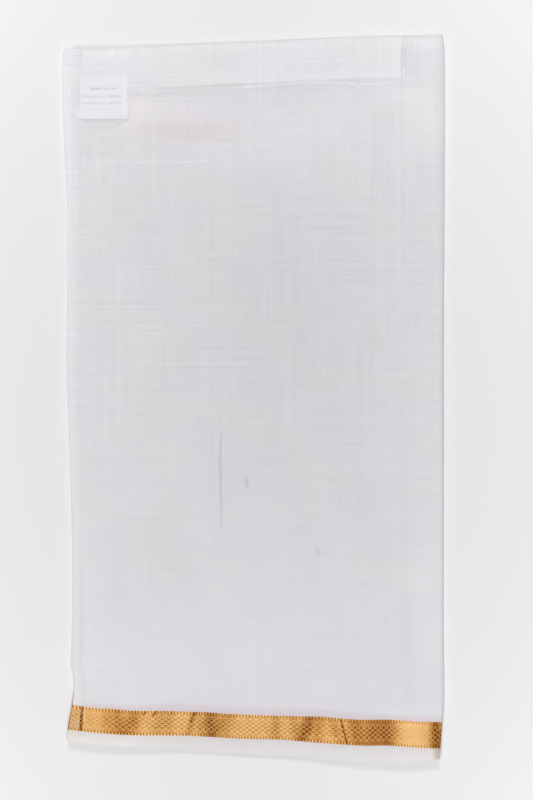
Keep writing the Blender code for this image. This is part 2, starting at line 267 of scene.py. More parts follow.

# Broad soft patches in the top ply: where more or less shows through it, its stains, and painted
# shade that leaves its middle darker than its edges. The middle of each, its half sizes and its
# change of red, green and blue, in thousandths.
PATCHES_AND_SHADE = table("x y half_x half_y red green blue", [
    (20, 40, 125, 200, -85, -85, -81),
    (40, 90, 60, 95, -20, -20, -16),
    (10, 215, 120, 45, 25, 25, 22),
    (-50, -235, 150, 45, 22, 20, 26),
    (-125, -245, 40, 40, 25, 25, 30),
    (160, 262, 24, 44, 100, 92, 86),
    (152, 300, 22, 20, 20, 18, 20),
    (163, 20, 16, 150, 30, 30, 28),
    (163, -200, 22, 100, 45, 45, 46),
    (-106, 262, 14, 12, 115, 98, 78),
    (-80, 263, 20, 13, 70, 63, 56),
    (-54, 260, 14, 9, 30, 18, 18),
    (-110, 246, 9, 6, 60, 50, 36),
    (-74, 242, 28, 6.5, -10, -58, -66),
    (-38, 242, 20, 8, -8, -48, -56),
    (-56, 236, 34, 5, -24, -26, -24),
    (-78, -150, 30, 40, -10, -10, -28),
    (-100, -118, 26, 16, -8, -8, -26),
    (92, -80, 34, 26, -6, -12, -26),
    (-57, 309, 8, 2.6, 4, -8, -70),
    (-44, 313, 7, 2.4, 4, -6, -45),
    (127, 312.4, 7, 2.2, 0, -14, -75),
    (129, 304, 2.2, 10, 0, -8, -55),
    (-128, 306, 30, 2.6, -10, -12, -16),
    (-130, 306, 46, 14, 50, 50, 50),
    (-20, 317, 150, 8, 20, 20, 20),
    (152, 320, 26, 8, 90, 88, 86),
    (-45, 298, 60, 22, -14, -14, -14),
    (122, 279, 24, 14, 50, 48, 44),
    (-98, 277.5, 24, 2.2, 70, 68, 70),
    (162, 312, 24, 20, 50, 49, 48),
    (80, 318, 110, 14, 14, 14, 14),
    (145, -285, 32, 9, 18, 30, 32),
    (-100, 250, 60, 16, 10, 6, 4),
    (-150, -190, 14, 130, 30, 30, 32),
    (50, 250, 150, 36, 62, 62, 62),
    (120, 290, 60, 36, 28, 28, 28),
    (-80, 80, 85, 150, 0, 0, -16),
    (8, 0, 32, 100, -9, 0, -4),
    (162, 60, 16, 190, -12, 0, -6),
    (30, -90, 150, 110, -17, -17, -17),
    (98, 15, 22, 40, -22, -22, -26),
    (-82, 20, 18, 30, -18, -18, -14),
    (-84, -14, 20, 24, -20, -20, -18),
    (-84, -140, 20, 22, -20, -20, -18),
    (98, -128, 24, 32, -16, -16, -14),
    (164, -10, 20, 95, -20, -18, -22),
    (-146, 160, 26, 75, 34, 34, 30),
    (-142, 309, 26, 4, 36, 36, 34),
    (155, 320, 18, 6, 50, 50, 50),
    (-130, 215, 44, 26, 34, 34, 18),
    (134, 205, 18, 40, 28, 32, 32),
    (-82, 308, 26, 12, 22, 20, 16),
    (75, 305, 26, 14, -22, -22, -18),
    (0, -210, 170, 60, 0, 0, 10),
])

# Where the stiff gold band buckles out of the light: the place along it, half width, depth
# and how far the buckle leans. Its depth dips the band and paints shade on its zari; glints
# are negative, a painted highlight.
BUCKLES = table("x half depth lean", [
    (-131, 6.5, 0.24, 0),
    (-121.5, 5.5, 0.46, 0),
    (-109.5, 7.5, 0.58, 0.35),
    (-84, 6, 0.26, 0.1),
    (-75, 4, 0.2, 0),
    (-55.6, 3, 0.42, 0.3),
    (-48, 3, 0.14, -0.1),
    (-38.6, 6.6, 0.74, 0.05),
    (-29, 5, 0.3, 0.5),
    (-22, 4, 0.2, 0.3),
    (19.8, 4.2, 0.32, 0),
    (37, 5, 0.26, -0.1),
    (47.6, 5.4, 0.85, 0.35),
    (58.5, 4.5, 0.38, 0.1),
    (74, 6, 0.33, -0.4),
    (82, 2.4, 0.16, -0.3),
    (93, 7.5, 0.66, -0.15),
    (107, 6.5, 0.66, 0),
    (119.9, 8.2, 0.84, 0),
    (143, 14, -0.21, 0),
    (164.4, 4.8, 1.1, 0),
])
BAND_TONE = 0.77  # how bright the band is where it lies flat
BUCKLE_DEPTH = 0.35  # depth of a buckle of depth 1

# Sharp pleats in the band, and the hem's edges where they cross it: the places along each, half
# its width and its change of tone, painted shade where below zero and a painted highlight where
# above.
PLEATS = [
    ([(78, -286), (80.6, -297), (84.4, -311)], 1.5, -1),
    ([(-96.4, -281.6), (-98.6, -284.4)], 1.6, -0.75),
    ([(-87.2, -281.4), (-90.4, -285.2)], 1.7, -0.8),
    ([(-73.6, -281.8), (-72.6, -284.4)], 1.6, -0.45),
    ([(-52.4, -282.2), (-56.8, -290.6)], 1.7, -0.6),
    ([(-153.9, -276), (-154.9, -300.4)], 2.4, -1.1),
    ([(-151.4, -277), (-151.9, -290)], 1.2, 0.3),
    ([(-163, -275.5), (-164.8, -284.5), (-166.6, -298)], 1.3, -0.9),
]

# ---- Reading the tables ----
def read(tab, column, at):
    """A column at any place along the table's first one, on a smooth curve through its rows."""
    places, values = tab[next(iter(tab))], tab[column]
    slopes = np.gradient(values, places)
    at = np.clip(at, places[0], places[-1])
    i = np.clip(np.searchsorted(places, at) - 1, 0, len(places) - 2)
    width = places[i + 1] - places[i]
    t = (at - places[i]) / width
    back = 1 - t
    return (values[i] * (1 + 2 * t) * back ** 2 + values[i + 1] * (3 - 2 * t) * t ** 2
            + width * t * back * (slopes[i] * back - slopes[i + 1] * t))


def ramp(value, start, end):
    """A soft step from 0 at start to 1 at end."""
    t = np.clip((value - start) / (end - start), 0, 1)
    return t * t * (3 - 2 * t)


def hump(value, middle, half):
    """A soft bump, 1 at its middle and almost nothing two half widths away."""
    return np.exp(-((value - middle) / half) ** 2)


def swells(x, y, seed, size):
    """A smooth uneven surface between about -1 and 1, with swells of about this size."""
    turn = 2 * math.pi / size
    waves = ((1, 0.31, 0), (-0.42, 0.93, 1.3), (0.77, -0.58, 2.1), (1.63, 1.21, 0.7),
             (-1.37, 1.74, 3.9))
    return sum(np.sin(turn * (a * x + b * y) + c + seed * (1.7 + k)) / (1 + 0.5 * k)
               for k, (a, b, c) in enumerate(waves)) / 2.6


def waver(at, phase, *waves):
    """A small uneven line: the sum of some waves (height, length, multiple of the phase)."""
    return sum(height * np.sin(at / length + times * phase) for height, length, times in waves)


def from_line(x, y, points):
    """Distance of each place from a bent line, how far along it that is, and its length."""
    nearest = np.full(np.shape(x), 1e9)
    along = np.zeros(np.shape(x))
    start = 0
    for (ax, ay), (bx, by) in zip(points, points[1:]):
        length = math.hypot(bx - ax, by - ay)
        t = np.clip(((x - ax) * (bx - ax) + (y - ay) * (by - ay)) / length ** 2, 0, 1)
        away = np.hypot(x - ax - t * (bx - ax), y - ay - t * (by - ay))
        along = np.where(away < nearest, start + t * length, along)
        nearest = np.minimum(nearest, away)
        start += length
    return nearest, along, start


def colored(amount, *change):
    """An amount at each place, times a change of red, green and blue."""
    return amount[..., None] * np.array(change)


def soft_patches(tab, x, y):
    """The sum of a table's soft patches, whose changes are in thousandths."""
    return sum(colored(hump(x, px, half_x) * hump(y, py, half_y), *change)
               for px, py, half_x, half_y, *change in rows_of(tab)) / 1000


# ---- Heights ----
def below_crown(ply, x, y):
    return read(CROWN, ply, x) - y


def from_left(ply, x, y):
    return x - read(SIDES, ply + "_left", y)


def band_edges(x, shift=0):
    """The y of the gold band's two edges, on a ply that sits this much higher."""
    return read(BORDER, "band_top", x) + shift, read(BORDER, "band_foot", x) + shift


def lift(x, y):
    """How far the whole pack is curled up off the surface at its foot."""
    height = np.maximum(read(BORDER, "lift", x), 0)
    from_edge = y - read(BORDER, "edge", x)
    return height * np.clip(1 - from_edge / LIFT_REACH, 0, 1) ** LIFT_POWER


def slack(x, y):
    """The slack of the pile: broad swells that every ply shares."""
    return 0.4 * swells(x, y, 0.4, 190) + 0.12 * swells(x, y, 1.9, 74)


def strip_share(x, y):
    """1 where the ply turned down inside the far fold lies under the top ply."""
    depth = STRIP_DEPTH + 0.5 * np.sin(x / 23) + 0.3 * np.sin(x / 9 + 1)
    inside = ramp(below_crown("top", x, y), depth + 0.9, depth - 0.9)
    return inside * ramp(x, INNER_END + 0.8, INNER_END - 1.2)


def crease_relief(x, y):
    relief = np.zeros(np.shape(x))
    for points, half, depth in CREASES:
        away, along, length = from_line(x, y, points)
        fade = ramp(along, 0, CREASE_TAPER) * ramp(length - along, 0, CREASE_TAPER)
        relief -= depth * hump(away, 0, half) * fade
    return relief


def buckles(x, across):
    """How far the gold band buckles at a place along it and across it from its middle."""
    return sum(depth * hump(x, place + lean * across, half)
               for place, half, depth, lean in rows_of(BUCKLES))


def buckle_relief(x, y):
    """The band's buckles, which die out in the plain cloth on either side of it."""
    across = y - sum(band_edges(x)) / 2
    past = np.maximum(np.abs(across) - BAND_WIDTH / 2, 0)
    return -BUCKLE_DEPTH * buckles(x, across) * ramp(past, BUCKLE_REACH, 0)


def edge_sink(ply, x, y):
    """1 at a ply's left edge and far fold, where it sinks onto what lies below it."""
    return np.maximum(ramp(from_left(ply, x, y), EDGE_REACH, 0),
                      ramp(below_crown(ply, x, y), EDGE_REACH, 0))


def top_rise(x, y):
    """The top ply's height over its flat level."""
    step_half = 1.5 + 4.5 * ramp(y, -240, -275)     # the hidden end's step is softer at the foot
    panel = ramp((x - INNER_END) / step_half, 1, -1)
    drooping = ramp(y - read(BORDER, "edge", x), UNDER_SHIFT - SEAM, 0)
    return (lift(x, y) + slack(x, y) + PANEL_RISE * panel + STRIP_RISE * strip_share(x, y)
            - DROOP * drooping - TOP_SINK * edge_sink("top", x, y) + crease_relief(x, y)
            + buckle_relief(x, y) + 0.05 * swells(x, y, 3.3, 24))


def under_rise(x, y):
    return (lift(x, y) + slack(x, y) - UNDER_SINK * edge_sink("under", x, y)
            + 0.05 * swells(x, y, 5.1, 31))


# ---- Places across the width and down the length ----
def graded(start, end, coarse, fine_places=()):
    """Places from start to end, coarse apart and finer round each (middle, half, step).

    Their number is odd, so that every second one still includes both ends.
    """
    places = [start]
    while places[-1] < end:
        at, step = places[-1], coarse
        for middle, half, fine in fine_places:
            if middle - half - coarse < at < middle + half:
                step = min(step, fine)
        places.append(min(at + step, end))
    if len(places) % 2 == 0:
        places.insert(1, (places[0] + places[1]) / 2)
    return np.array(places)


def even(count):
    return np.linspace(0, 1, count)


def ply_lines(ply, crown_rise, foot_rise):
    """A ply's lines across its width, as y at any x: its far fold, the gold band's two edges
    and its selvedge's edge, each moved up by so much."""
    def line(tab, column, rise):
        return lambda x: read(tab, column, x) + rise

    foot = [line(BORDER, column, foot_rise) for column in ("band_top", "band_foot", "edge")]
    return [line(CROWN, ply, crown_rise), *foot]


def rows_between(upper, lower, shares):
    return [lambda x, s=s: (1 - s) * upper(x) + s * lower(x) for s in shares]


def top_span(y):
    return read(SIDES, "top_left", y), read(SIDES, "right", y) - FOLD_RADIUS


def under_span(y):
    left, right = read(SIDES, "under_left", y), read(SIDES, "right", y)
    return left, right - FOLD_RADIUS - FOLD_RETURN - SEAM


def hem_span(y):
    left = read(SIDES, "top_left", y)
    return left, left + HEM_WIDTH


def label_span(y):
    """The label's two sides, drawn in where its corners are rounded."""
    foot, head = LABEL["y"][0], LABEL["y"][-1]
    short = np.clip(LABEL_CORNER - np.minimum(y - foot, head - y), 0, LABEL_CORNER)
    inset = LABEL_CORNER - np.sqrt(LABEL_CORNER ** 2 - short ** 2)
    return read(LABEL, "left", y) + inset, read(LABEL, "right", y) - inset


def settle(shares, offsets, span, row):
    """The x and y of each column on a row. Both depend on each other, so a few turns."""
    y = np.zeros(len(shares))
    for _ in range(4):
        left, right = span(y)
        x = left + shares * (right - left) + offsets
        y = row(x)
    return x, y


# A section is a list of columns: a share of the flat width, then how far the outer and the
# inner point stand off that place and their heights, and how far round a fold they are.
def flat_columns(shares, top, wall=CLOTH):
    return [(share, 0, top, 0, top - wall, 0) for share in shares]


def rounded_edge(share, inward, top, wall=CLOTH):
    """A free edge rounded over its thickness: inward is 1 at a left edge, -1 at a right."""
    half = wall / 2
    columns = []
    for turn in np.radians((0, 30, 60)):
        back = inward * half * (1 - math.cos(turn))
        up = half * math.sin(turn)
        columns.append((share, back, top - half + up, back, top - half - up, 0))
    return columns[::inward]


def turned_columns(share, centre, outer, inner, middle, side, angles):
    """Columns round a fold: angles are degrees from straight up, side is 1 at the right."""
    columns = []
    for angle in np.radians(angles):
        out, up = side * math.sin(angle), math.cos(angle)
        columns.append((share, centre + outer * out, middle + outer * up,
                        centre + inner * out, middle + inner * up, side * outer * angle))
    return columns


def flat_section(width, step, top, wall=CLOTH):
    """A flat wall between two free edges."""
    shares = graded(0, width, step) / width
    return (rounded_edge(0, 1, top, wall) + flat_columns(shares[1:-1], top, wall)
            + rounded_edge(1, -1, top, wall))


def top_section(step, fine_places=()):
    """The top ply: a free left edge, its flat width, then half a turn and a length that runs
    back under."""
    shares = (graded(*TOP_REACH, step, fine_places) - TOP_REACH[0]) / np.ptp(TOP_REACH)
    turn = turned_columns(1, 0, FOLD_RADIUS, FOLD_RADIUS - CLOTH, TOP - FOLD_RADIUS, 1,
                          np.linspace(0, 180, 13)[1:])
    bottom, round_it = TOP - 2 * FOLD_RADIUS, math.pi * FOLD_RADIUS
    return (rounded_edge(0, 1, TOP) + flat_columns(shares[1:], TOP) + turn
            + [(1, -back, bottom, -back, bottom + CLOTH, round_it + back)
               for back in (1.5, 3, 5, FOLD_RETURN)])


def hem_section():
    """The hem: a short length below the top ply's edge, a turn round it, then its width."""
    middle = TOP - CLOTH / 2
    inner = CLOTH / 2 + HEM_CLEAR
    outer = inner + HEM_CLOTH
    top = middle + outer
    below = [(0, back, middle - outer, back, middle - inner, -math.pi * outer - back)
             for back in (3, 1.5)]
    turn = turned_columns(0, inner, outer, inner, middle, -1, np.linspace(180, 0, 9))
    flat = [(0, x, top, x, top - HEM_CLOTH, 0) for x in np.linspace(1, HEM_WIDTH - 0.6, 19)]
    return below + turn + flat + rounded_edge(1, -1, top, HEM_CLOTH)


def shell_grids(section, span, rows, rise):
    """Outer and inner points, and the cloth's own place, a row of columns for each row."""
    share, out_x, out_z, in_x, in_z, past = np.array(section, float).T
    outer, inner, cloth = [], [], []
    for row in rows:
        x, y = settle(share, out_x, span, row)
        up = rise(x, y)
        outer.append(np.stack([x, y, out_z + up], axis=1))
        inner.append(np.stack([x - out_x + in_x, y, in_z + up], axis=1))
        along = np.where(past != 0, x - out_x + past, x)
        cloth.append(np.stack([along, y, np.zeros(len(x))], axis=1))
    return np.array(outer), np.array(inner), np.array(cloth)


# ---- Meshes ----
def rim_of(grid):
    """A grid's outermost entries, in order round it."""
    return np.concatenate([grid[0, :-1], grid[:-1, -1], grid[-1, :0:-1], grid[:0:-1, 0]])


def grid_faces(index):
    return np.stack([index[:-1, :-1], index[1:, :-1], index[1:, 1:], index[:-1, 1:]],
                    axis=-1).reshape(-1, 4)


def mesh_object(name, points, faces, materials):
    mesh = bpy.data.meshes.new(name)
    mesh.from_pydata((np.asarray(points) * MM).tolist(), [], faces)
    for material in materials:
        mesh.materials.append(material)
    piece = bpy.data.objects.new(name, mesh)
    bpy.context.scene.collection.objects.link(piece)
    return piece


def closed_shell(name, levels, materials, attributes, row_slots=None):
    """A closed piece from grids laid over each other, from the upper to the lower.

    Where the lowest grid is half as fine as the one above it, its rim takes every second
    point. attributes holds, by name, a grid of three numbers for the upper grid's points,
    which the other grids repeat. row_slots gives each row of faces its material's place.
    """
    rows, columns = levels[0].shape[:2]
    upper = np.arange(rows * columns).reshape(rows, columns)
    points, source, rings = [levels[0].reshape(-1, 3)], [upper.ravel()], [rim_of(upper)]
    total = upper.size
    for level in levels[1:-1]:
        points.append(rim_of(level))
        source.append(rim_of(upper))
        rings.append(total + np.arange(len(points[-1])))
        total += len(points[-1])
    lower = total + np.arange(levels[-1][..., 0].size).reshape(levels[-1].shape[:2])
    step = 2 if len(lower) < rows else 1
    points.append(levels[-1].reshape(-1, 3))
    source.append(upper[::step, ::step].ravel())
    rings.append(rim_of(lower))

    faces = grid_faces(upper).tolist() + grid_faces(lower)[:, ::-1].tolist()
    for above, below in zip(rings, rings[1:]):
        if len(above) == len(below):
            sides = [above, np.roll(above, -1), np.roll(below, -1), below]
        else:
            ahead = np.roll(above, -2)[::2]
            sides = [above[::2], above[1::2], ahead, np.roll(below, -1), below]
        faces += np.stack(sides, axis=1).tolist()

    source = np.concatenate(source)
    piece = mesh_object(name, np.concatenate(points), faces, materials)
    mesh = piece.data
    if row_slots is not None:
        first_row = source[[face[0] for face in faces]] // columns
        slots = np.array(row_slots)[np.minimum(first_row, rows - 2)]
        mesh.polygons.foreach_set("material_index", slots.astype(np.int32))
    for key, grid in attributes.items():
        layer = mesh.attributes.new(key, "FLOAT_VECTOR", "POINT")
        layer.data.foreach_set("vector", grid.reshape(-1, 3)[source].astype(np.float32).ravel())
    mesh.update()
    mesh.shade_smooth()
    mesh.set_sharp_from_angle(angle=math.radians(60))
    return piece


def thread_mesh(name, runs, radius, material, sides=6):
    """Closed round threads, one along each run of points, joined in one mesh."""
    points, faces = [], []
    for run in runs:
        first, count = len(points), len(run)
        ahead = np.gradient(np.array(run), axis=0)
        for k, (place, way) in enumerate(zip(run, ahead)):
            way = way / np.linalg.norm(way)
            side = np.cross(way, (0, 0, 1))
            side /= np.linalg.norm(side)
            over = np.cross(side, way)
            thin = radius * (0.55 if k in (0, count - 1) else 1)
            for turn in np.arange(sides) * 2 * math.pi / sides:
                points.append(place + thin * (math.cos(turn) * side + math.sin(turn) * over))
        rings = first + sides * np.arange(count)[:, None] + np.arange(sides + 1) % sides
        faces += grid_faces(rings)[:, ::-1].tolist()
        faces += [rings[0, sides - 1::-1].tolist(), rings[-1, :sides].tolist()]
    piece = mesh_object(name, points, faces, [material])
    piece.data.shade_smooth()
    return piece


# ---- Shader nodes ----
class Graph:
    """A material's nodes, added by short calls. A value is a number, a tuple or a socket."""

    def __init__(self, name):
        self.material = bpy.data.materials.new(name)
        self.material.use_nodes = True
        self.tree = self.material.node_tree
        self.shader = self.tree.nodes["Principled BSDF"]

    def put(self, socket, value):
        if isinstance(value, bpy.types.NodeSocket):
            self.tree.links.new(value, socket)
        elif isinstance(value, tuple) and len(value) == 3 and socket.type == "RGBA":
            socket.default_value = (*value, 1)
        else:
            socket.default_value = value

    def add(self, kind, inputs=(), **settings):
        node = self.tree.nodes.new("ShaderNode" + kind)
        for key, value in settings.items():
            setattr(node, key, value)
        for key, value in dict(inputs).items():
            self.put(node.inputs[key], value)
        return node

    def math(self, operation, *values):
        return self.add("Math", dict(enumerate(values)), operation=operation).outputs[0]

    def vector(self, operation, *values, out=0):
        node = self.add("VectorMath", dict(enumerate(values)), operation=operation)
        return node.outputs[out]

    def scaled(self, value, factor, plus=0):
        return self.math("MULTIPLY_ADD", value, factor, plus)

    def total(self, first, *others):
        for value in others:
            first = self.math("ADD", first, value)
        return first

    def blend(self, share, first, second):
        return self.scaled(share, self.math("SUBTRACT", second, first), first)

    def wave(self, value, length):
        """A sine of so many millimetres."""
        return self.math("SINE", self.scaled(value, 2 * math.pi / length))

    def diamond(self, u, v):
        """1 at a diamond's middle, and less towards its sides."""
        return self.math("MINIMUM", self.math("COSINE", self.math("ADD", u, v)),
                         self.math("COSINE", self.math("SUBTRACT", u, v)))

    def squares(self, first, second):
        return self.total(self.math("POWER", first, 2), self.math("POWER", second, 2))

    def attribute(self, name):
        return self.add("Attribute", attribute_name=name).outputs["Vector"]

    def cloth_place(self):
        """The place in the flat cloth, in millimetres, without its third number."""
        return self.vector("MULTIPLY_ADD", self.attribute("cloth"), (1, 1, 0), (0, 0, 0))

    def noise(self, place, swings, start=(0, 0), detail=2, roughness=0.5):
        """Uneven values from 0 to 1, with this many swings in each unit of X and Y."""
        place = self.vector("MULTIPLY_ADD", place, (*swings, 0)[:3], (*start, 0))
        return self.add("TexNoise", {"Vector": place, "Scale": 1, "Detail": detail,
                                     "Roughness": roughness}).outputs["Fac"]

    def smooth(self, value, start, end, low=0, high=1):
        return self.add("MapRange", {"Value": value, "From Min": start, "From Max": end,
                                     "To Min": low, "To Max": high},
                        interpolation_type="SMOOTHSTEP").outputs["Result"]

    def mix(self, share, first, second):
        node = self.add("Mix", data_type="RGBA")
        sockets = {s.identifier: s for s in node.inputs}
        self.put(sockets["Factor_Float"], share)
        self.put(sockets["A_Color"], first)
        self.put(sockets["B_Color"], second)
        return next(s for s in node.outputs if s.identifier == "Result_Color")

    def times(self, color, factor):
        """A color made lighter or darker by a number or by another color."""
        return self.vector("MULTIPLY", color, factor)

    def split(self, vector):
        return self.add("SeparateXYZ", {0: vector}).outputs[:3]

    def stroke(self, place, start, end, half):
        """1 on the line from start to end, fading to 0 at half its width from it."""
        step = Vector((*end, 0)) - Vector((*start, 0))
        from_start = self.vector("SUBTRACT", place, (*start, 0))
        share = self.vector("DOT_PRODUCT", from_start, tuple(step / step.length_squared),
                            out="Value")
        share = self.add("Clamp", {"Value": share}).outputs[0]
        nearest = self.add("VectorMath", {0: tuple(step), "Scale": share}, operation="SCALE")
        away = self.vector("DISTANCE", from_start, nearest.outputs[0], out="Value")
        return self.smooth(away, half, 0)

    def line(self, place, points, half):
        """1 along a bent line, fading to 0 at half its width from it."""
        result = self.stroke(place, points[0], points[1], half)
        for start, end in zip(points[1:], points[2:]):
            result = self.math("MAXIMUM", result, self.stroke(place, start, end, half))
        return result

    def lines(self, tone, place, lines):
        """A tone, changed by so much along each of some bent lines."""
        for points, half, change in lines:
            tone = self.scaled(self.line(place, points, half), change, tone)
        return tone

    def bump(self, height, distance, strength):
        return self.add("Bump", {"Height": height, "Distance": distance,
                                 "Strength": strength}).outputs["Normal"]

    def finish(self, color, roughness, normal=None, **plain):
        self.put(self.shader.inputs["Base Color"], color)
        self.put(self.shader.inputs["Roughness"], roughness)
        if normal is not None:
            self.put(self.shader.inputs["Normal"], normal)
        for key, value in plain.items():
            self.shader.inputs[key.replace("_", " ")].default_value = value
        return self.material


# ---- Cotton ----
THREAD = 0.42  # pitch of the cotton's threads, in millimetres
WHITE = (0.744, 0.729, 0.757)
UNCHANGED = (1, 1, 1)
WARM_EDGE = (0.975, 0.945, 0.940)  # beside the gold band
BEHIND_BAND = (0.955, 0.900, 0.895)  # just above it, where its threads float behind the cotton
WARM_CAST, COOL_CAST = (1, 1, 0.992), (0.998, 0.993, 1.015)
# painted light: the cloth a little lighter towards the foot and darker towards the far fold
FOOT_PAINTED_LIGHT = (-0.000035, 1.004)  # the tone's change for each millimetre up, and its middle
THREAD_TONES = [
    # how far along X and Y one swing of tone reaches, in millimetres, and how strong it is
    ((16, 1), 0.085), ((400, 1.1), 0.085), ((45, 2.6), 0.085), ((380, 4.2), 0.080),
    ((0.95, 24), 0.075), ((1.1, 400), 0.080), ((2.4, 80), 0.055), ((6.5, 380), 0.075),
    ((14, 14), 0.045),
]
GRIDS = [
    # fine lines that show in patches: which way they are told apart (X or Y), their spacing,
    # how large the patches are and how strong the lines
    (1, 2.62, (0.055, 0.11), 0.020),
    (0, 2.71, (0.11, 0.05), 0.016),
]


def thread_tone(g, place):
    """Uneven hand-loom threads both ways, stronger one way here and the other way there."""
    here = g.smooth(g.noise(place, (0.021, 0.017), (2.2, 8.1)), 0.36, 0.64)
    tone = 0
    for k, ((size_x, size_y), share) in enumerate(THREAD_TONES):
        swing = g.noise(place, (1 / size_x, 1 / size_y), (31.7 * k, 9.3 * k), roughness=0.6)
        swing = g.scaled(swing, share, -share / 2)
        weight = g.scaled(here, 0.9, 0.45) if size_x > size_y else g.scaled(here, -0.9, 1.35)
        tone = g.scaled(swing, weight, tone)
    for axis, spacing, swings, share in GRIDS:
        lines = g.wave(g.split(place)[axis], spacing)
        patch = g.noise(place, swings, (5 * axis, 17), roughness=0.7)
        tone = g.scaled(lines, g.smooth(patch, 0.50, 0.68, 0, share), tone)
    slub = g.noise(place, (0.02, 0.8), (3.3, 41), detail=1)
    tone = g.math("ADD", tone, g.smooth(slub, 0.66, 0.76, 0, 0.022))
    return g.scaled(tone, g.smooth(g.split(place)[1], -150, 30, 0.55, 1.1), 1)


def weave_relief(g, place):
    """Plain weave: threads that pass over and under each other."""
    x, y, _ = g.split(place)
    crossing = g.math("MULTIPLY", g.wave(x, 2 * THREAD), g.wave(y, 2 * THREAD))
    return g.scaled(crossing, 0.35, g.noise(place, (0.03, 1.3), roughness=0.6))


def stipple(g, place, from_band):
    """The gold threads' floats behind the cotton show as rows of faint dots by the band."""
    x, y, _ = g.split(place)
    dots = g.math("MULTIPLY", g.wave(x, 2.6), g.wave(y, 2.2))
    return g.scaled(dots, g.smooth(from_band, 4.6, 2.8, 0, 0.045), 1)


def cotton_material(name, marks_and_shade=()):
    """Fine white cotton. Its tint holds stains, what shows through it, and painted light and shade.
    """
    g = Graph(name)
    place = g.cloth_place()
    from_band = g.split(g.attribute("cloth"))[2]
    tone = g.math("MULTIPLY", thread_tone(g, place), stipple(g, place, from_band))
    # the lines add slubs, smudges, and painted shade and highlights along creases and folds
    tone = g.math("MULTIPLY", tone, g.lines(1, place, marks_and_shade))
    tone = g.math("MULTIPLY", tone, g.scaled(g.split(place)[1], *FOOT_PAINTED_LIGHT))
    shade = g.times(g.times(WHITE, tone), g.attribute("tint"))
    cast = g.smooth(g.noise(place, (0.016, 0.022), (61, 7)), 0.35, 0.65)
    shade = g.times(shade, g.mix(cast, WARM_CAST, COOL_CAST))
    shade = g.times(shade, g.mix(g.smooth(from_band, 4, 0.3), UNCHANGED, WARM_EDGE))
    if marks_and_shade:
        x = g.split(place)[0]
        floats = g.scaled(g.smooth(x, -60, -140), 3)
        floats = g.total(from_band, floats, g.smooth(x, 60, 120, 0, 2))
        shade = g.times(shade, g.mix(g.smooth(floats, 8.5, 5), UNCHANGED, BEHIND_BAND))
    return g.finish(shade, 0.86, g.bump(weave_relief(g, place), 0.00004, 0.6),
                    Sheen_Weight=0.1, Sheen_Roughness=0.5, Specular_IOR_Level=0.2)


# ---- Gold band ----
REPEAT = 5.85  # the lattice's repeat along the band
RISE = 4.05  # and across it
EYE_FROM_MIDDLE = 6.9  # the row of bright eyes
EYE_HALF = (1.2, 0.62)  # an eye's half sizes
EYE_SHIFT = 0.82  # how far the lattice is moved outside the eyes
ARCS_FROM_MIDDLE = 8.3  # where the arcs round the edge's beads start
ARC_CENTRE = 10.6  # the middle of those arcs
ARC_SPACING = 2.3
BEAD_FROM_MIDDLE = 9.2  # where the row of beads along each edge starts
DASH_SHIFT = 0.9  # how far above the middle of its float each bright dash lies
ZARI_THREAD = 0.37  # pitch of the zari's threads
GOLD = {
    # the zari's gold from its darkest float to its brightest: painted shade, half light and painted
    # full light
    "dark": (0.157, 0.036, 0.000),
    "middle": (0.386, 0.176, 0.033),
    "bright": (0.731, 0.452, 0.190),
}
PACE = table("x extra", [
    # where the band buckles, more of it lies in each millimetre
    (-172, 0), (-84, 0), (-54, 0.4), (-38, 2.6), (-22, 4.6), (4, 6.2), (40, 7.4),
    (78, 7.6), (98, 8.6), (124, 13), (150, 16.6), (172, 19.4),
])


def lattice_nodes(g, along, across, wander):
    """The zari's pattern, each part from 0 to 1: floats on their binding threads, the floats'
    deep middles, the dashes that shine above these, the eyes, and the edges with their beads."""
    turn = 2 * math.pi / RISE
    u = g.scaled(along, 2 * math.pi / REPEAT)
    out = g.math("ABSOLUTE", across)
    v = g.scaled(g.math("SUBTRACT", out, g.smooth(out, 4.9, 6.1, 0, EYE_SHIFT)), turn)
    dash = g.diamond(u, g.scaled(across, turn, -turn * DASH_SHIFT))
    beside = g.math("PINGPONG", along, REPEAT / 2)
    arc = g.math("SQRT", g.squares(beside, g.scaled(out, -1, ARC_CENTRE)))
    arc = g.math("COSINE", g.scaled(arc, 2 * math.pi / ARC_SPACING))
    in_arcs = g.smooth(out, ARCS_FROM_MIDDLE - 0.2, ARCS_FROM_MIDDLE + 0.2)
    between = g.math("SUBTRACT", 1, in_arcs)
    field = g.math("ADD", g.blend(in_arcs, g.diamond(u, v), arc), wander)
    half_u, half_v = EYE_HALF
    eye = g.squares(g.scaled(beside, 1 / half_u, -REPEAT / 2 / half_u),
                    g.scaled(out, 1 / half_v, -EYE_FROM_MIDDLE / half_v))
    edge = g.smooth(out, BEAD_FROM_MIDDLE - 0.15, BEAD_FROM_MIDDLE + 0.15)
    bead = g.smooth(g.math("COSINE", g.scaled(across, 0.5, g.scaled(u, 2))), -0.5, 0.5)
    middle = g.math("MULTIPLY", g.smooth(field, 0, 0.8), between)
    dash = g.math("MULTIPLY", g.smooth(dash, 0.3, 0.95), between)
    return (g.smooth(field, -1, -0.84), middle, dash, g.smooth(eye, 1.3, 0.4), edge, bead)


